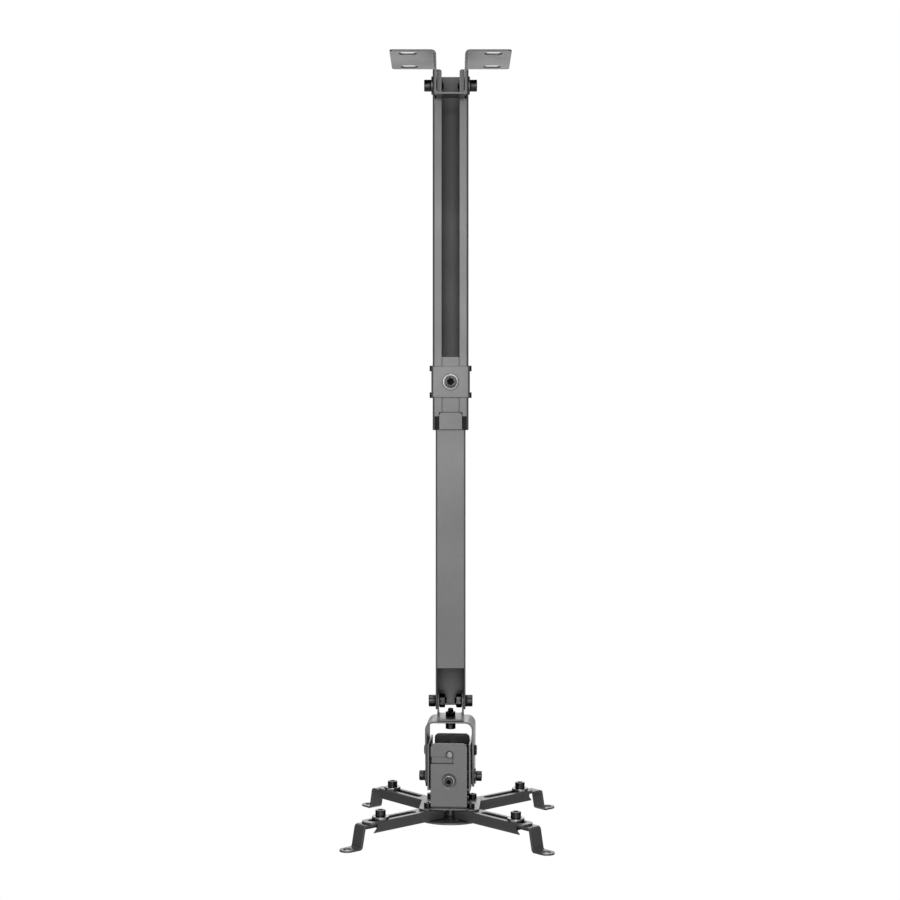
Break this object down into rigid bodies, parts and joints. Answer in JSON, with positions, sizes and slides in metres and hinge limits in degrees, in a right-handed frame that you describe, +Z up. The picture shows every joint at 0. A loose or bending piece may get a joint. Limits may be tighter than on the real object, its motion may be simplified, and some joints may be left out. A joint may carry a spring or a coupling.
{
  "type": "projector ceiling mount",
  "caption": "Telescopic ceiling mount for a projector: slotted bracket, clamped pole, swivel and tilt head, swinging arms with sliding legs.",
  "frame": {"origin": "on the ceiling contact plane, on the pole's axis, in the middle of the four ceiling slots", "axes": "+Z up into the ceiling along the pole, -Y towards the open front of the pole, +X to the right"},
  "size_m": [0.1814, 0.1787, 0.65],
  "materials": {
    "powder_coat": "fine satin black powder coat",
    "black_fastener": "black oxide steel, semi gloss",
    "black_nylon": "matt moulded nylon"
  },
  "bodies": {
    "ceiling_part": {"ceiling_bracket": "powder_coat", "outer_tube": "powder_coat", "bracket_bolts": "black_fastener", "bracket_washers": "black_fastener", "bracket_nuts": "black_fastener", "clamp_sleeve": "powder_coat", "clamp_screw": "black_fastener", "clamp_washer": "black_fastener", "clamp_nut": "black_fastener", "guide_pad_left": "black_nylon", "guide_pad_right": "black_nylon", "mouth_bush": "black_nylon", "mouth_plate": "powder_coat"},
    "inner_tube": {"inner_tube": "powder_coat", "fork_bolts": "black_fastener", "fork_nuts": "black_fastener"},
    "fork": {"fork": "powder_coat", "swivel_bolt": "black_fastener", "swivel_washers": "black_fastener", "swivel_nut": "black_fastener"},
    "yoke": {"yoke": "powder_coat", "pivot_rivets": "black_fastener"},
    "head": {"head_box": "powder_coat", "tilt_bolts": "black_fastener", "tilt_washers": "black_fastener", "tilt_nuts": "black_fastener", "hook_bracket": "powder_coat", "hook_pin": "black_fastener", "release_screw": "black_fastener", "release_washer": "black_fastener", "release_nut": "black_fastener", "base_plate": "powder_coat", "hub_plate": "powder_coat", "hub_spacer": "black_fastener", "hub_bolt": "black_fastener", "hub_nut": "black_fastener", "arm_pivot_bolts": "black_fastener", "arm_pivot_nuts": "black_fastener"},
    "arm_front_left": {"arm_front_left": "powder_coat"},
    "leg_front_left": {"leg_front_left": "powder_coat", "leg_bolt_front_left": "black_fastener", "leg_washers_front_left": "black_fastener", "leg_nut_front_left": "black_fastener"},
    "arm_front_right": {"arm_front_right": "powder_coat"},
    "leg_front_right": {"leg_front_right": "powder_coat", "leg_bolt_front_right": "black_fastener", "leg_washers_front_right": "black_fastener", "leg_nut_front_right": "black_fastener"},
    "arm_rear_left": {"arm_rear_left": "powder_coat"},
    "leg_rear_left": {"leg_rear_left": "powder_coat", "leg_bolt_rear_left": "black_fastener", "leg_washers_rear_left": "black_fastener", "leg_nut_rear_left": "black_fastener"},
    "arm_rear_right": {"arm_rear_right": "powder_coat"},
    "leg_rear_right": {"leg_rear_right": "powder_coat", "leg_bolt_rear_right": "black_fastener", "leg_washers_rear_right": "black_fastener", "leg_nut_rear_right": "black_fastener"}
  },
  "joints": [
    {"name": "height_slide", "type": "slide", "parent": "ceiling_part", "child": "inner_tube", "axis": [0, 0, 1], "range_m": [0, 0.215]},
    {"name": "fork_tilt", "type": "hinge", "parent": "inner_tube", "child": "fork", "pos_m": [0, 0, -0.5419], "axis": [1, 0, 0], "range_deg": [-15, 15]},
    {"name": "swivel", "type": "hinge", "parent": "fork", "child": "yoke", "pos_m": [0, 0, -0.5566], "axis": [0, 0, 1], "continuous": true},
    {"name": "head_tilt", "type": "hinge", "parent": "yoke", "child": "head", "pos_m": [0, 0, -0.5833], "axis": [0.998, -0.0628, 0], "range_deg": [-15, 15]},
    {"name": "arm_swing_front_left", "type": "hinge", "parent": "head", "child": "arm_front_left", "pos_m": [-0.01875, -0.01653, -0.6295], "axis": [0, 0, 1], "range_deg": [-20.2, 19.8]},
    {"name": "leg_slide_front_left", "type": "slide", "parent": "arm_front_left", "child": "leg_front_left", "axis": [-0.7478, -0.6639, 0], "range_m": [-0.034, 0.009]},
    {"name": "arm_swing_front_right", "type": "hinge", "parent": "head", "child": "arm_front_right", "pos_m": [0.01653, -0.01875, -0.6295], "axis": [0, 0, 1], "range_deg": [-22.1, 17.9]},
    {"name": "leg_slide_front_right", "type": "slide", "parent": "arm_front_right", "child": "leg_front_right", "axis": [0.6884, -0.7254, 0], "range_m": [-0.0355, 0.0075]},
    {"name": "arm_swing_rear_left", "type": "hinge", "parent": "head", "child": "arm_rear_left", "pos_m": [-0.01653, 0.01875, -0.6295], "axis": [0, 0, 1], "range_deg": [-19.4, 20.6]},
    {"name": "leg_slide_rear_left", "type": "slide", "parent": "arm_rear_left", "child": "leg_rear_left", "axis": [-0.6534, 0.757, 0], "range_m": [-0.036, 0.007]},
    {"name": "arm_swing_rear_right", "type": "hinge", "parent": "head", "child": "arm_rear_right", "pos_m": [0.01875, 0.01653, -0.6295], "axis": [0, 0, 1], "range_deg": [-19.8, 20.2]},
    {"name": "leg_slide_rear_right", "type": "slide", "parent": "arm_rear_right", "child": "leg_rear_right", "axis": [0.7524, 0.6587, 0], "range_m": [-0.039, 0.004]}
  ]
}
